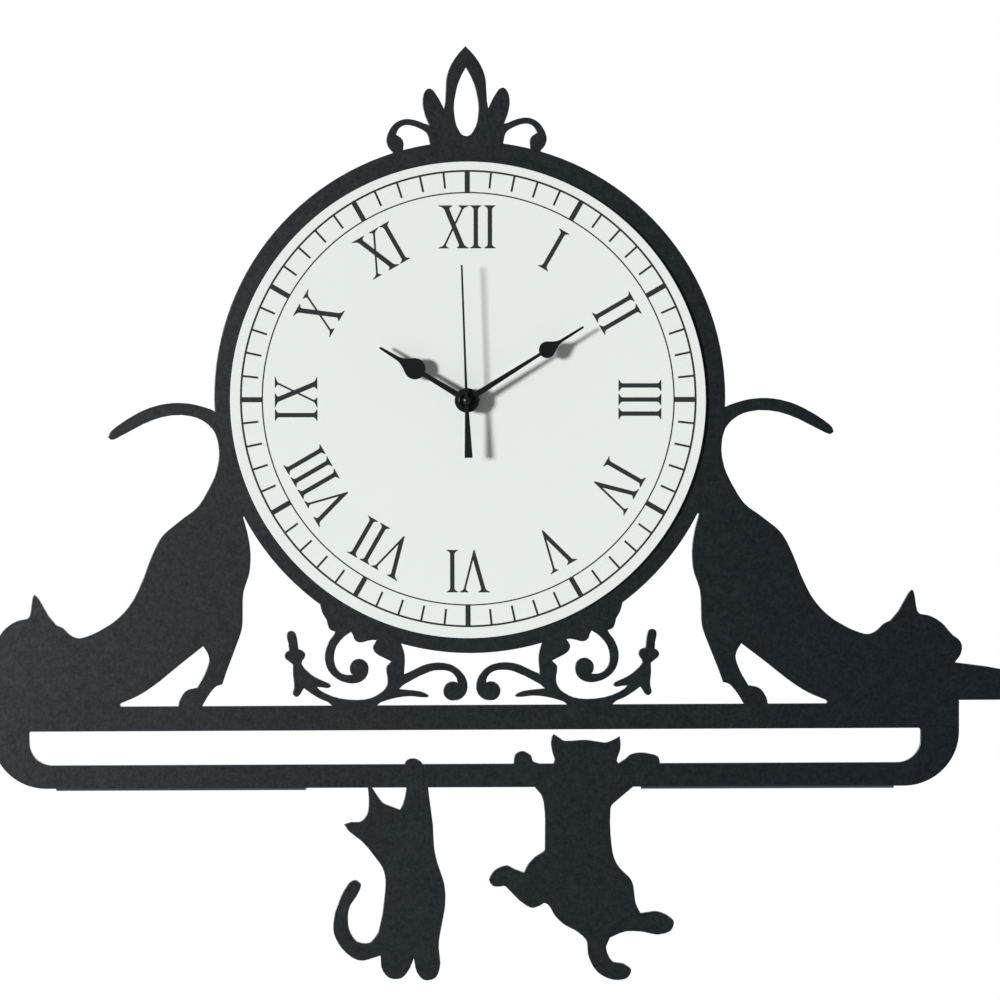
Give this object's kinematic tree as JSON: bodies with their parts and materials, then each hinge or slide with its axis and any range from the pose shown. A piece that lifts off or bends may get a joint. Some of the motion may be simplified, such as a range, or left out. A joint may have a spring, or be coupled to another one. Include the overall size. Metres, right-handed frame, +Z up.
{
  "type": "wall clock",
  "caption": "Flat dark metal wall clock cut as a silhouette of cats and scrolls round a pale Roman-numeral dial, with spade hands driven by a geared quartz movement on its back.",
  "frame": {"origin": "the point where the wall nail bears in the top of the hanger's keyhole, in the wall plane", "axes": "+X to the right seen from the front, +Y from the dial into the wall, +Z up"},
  "size_m": [0.5586, 0.04, 0.4684],
  "materials": {
    "powder_coat": "fine textured charcoal powder coat",
    "dial_print": "matt pale print on sheet",
    "hand_paint": "satin black",
    "zinc_steel": "zinc plated",
    "brass": "turned",
    "black_plastic": "moulded",
    "white_plastic": "moulded",
    "rubber": "matt",
    "copper_wire": "enamelled winding",
    "board": "lacquered laminate",
    "battery_sleeve": "plain printed sleeve",
    "magnet": "sintered magnet with a moulded pinion"
  },
  "bodies": {
    "frame": {"frame_plate": "powder_coat", "hanger_bracket": "zinc_steel", "dial_plate": "dial_print", "rubber_washer": "rubber", "threaded_bush": "brass", "flat_washer": "hand_paint", "hex_nut": "hand_paint", "movement_case": "black_plastic", "back_cover": "black_plastic", "cover_screw_1": "zinc_steel", "cover_screw_2": "zinc_steel", "cover_screw_3": "zinc_steel", "cover_screw_4": "zinc_steel", "stator": "zinc_steel", "coil": "copper_wire", "circuit_board": "board", "quartz_crystal": "zinc_steel", "battery": "battery_sleeve", "negative_contact": "zinc_steel", "positive_contact": "zinc_steel"},
    "second": {"second_hand": "hand_paint", "second_wheel": "brass"},
    "minute": {"minute_hand": "hand_paint", "minute_nut": "hand_paint", "centre_wheel": "brass"},
    "hour": {"hour_hand": "hand_paint", "hour_wheel": "white_plastic"},
    "step": {"step_wheel": "white_plastic"},
    "motor_rotor": {"rotor": "magnet"},
    "third": {"third_wheel": "white_plastic"},
    "motion": {"minute_wheel": "white_plastic"},
    "knob": {"setting_knob": "black_plastic"}
  },
  "joints": [
    {"name": "second_hand_turn", "type": "hinge", "parent": "frame", "child": "second", "pos_m": [-0.00055, 0, -0.0847], "axis": [0, 1, 0], "continuous": true},
    {"name": "minute_hand_turn", "type": "hinge", "parent": "frame", "child": "minute", "pos_m": [-0.00055, 0, -0.0847], "axis": [0, 1, 0], "continuous": true},
    {"name": "hour_hand_turn", "type": "hinge", "parent": "frame", "child": "hour", "pos_m": [-0.00055, 0, -0.0847], "axis": [0, 1, 0], "continuous": true},
    {"name": "step_wheel_turn", "type": "hinge", "parent": "frame", "child": "step", "pos_m": [0.00556, 0, -0.07859], "axis": [0, 1, 0], "continuous": true},
    {"name": "rotor_turn", "type": "hinge", "parent": "frame", "child": "motor_rotor", "pos_m": [0.01293, 0, -0.07591], "axis": [0, 1, 0], "continuous": true},
    {"name": "third_wheel_turn", "type": "hinge", "parent": "frame", "child": "third", "pos_m": [-0.00819, 0, -0.07706], "axis": [0, 1, 0], "continuous": true},
    {"name": "minute_wheel_turn", "type": "hinge", "parent": "frame", "child": "motion", "pos_m": [-0.01, 0, -0.08637], "axis": [0, 1, 0], "continuous": true},
    {"name": "setting_knob_turn", "type": "hinge", "parent": "frame", "child": "knob", "pos_m": [-0.01928, 0, -0.08388], "axis": [0, 1, 0], "continuous": true}
  ],
  "couplings": [
    {"joint": "step_wheel_turn", "follows": "second_hand_turn", "ratio": -5},
    {"joint": "rotor_turn", "follows": "second_hand_turn", "ratio": 30},
    {"joint": "third_wheel_turn", "follows": "second_hand_turn", "ratio": -0.13333},
    {"joint": "minute_hand_turn", "follows": "second_hand_turn", "ratio": 0.016667},
    {"joint": "minute_wheel_turn", "follows": "second_hand_turn", "ratio": -0.0055556},
    {"joint": "hour_hand_turn", "follows": "second_hand_turn", "ratio": 0.0013889},
    {"joint": "setting_knob_turn", "follows": "second_hand_turn", "ratio": 0.016667}
  ]
}
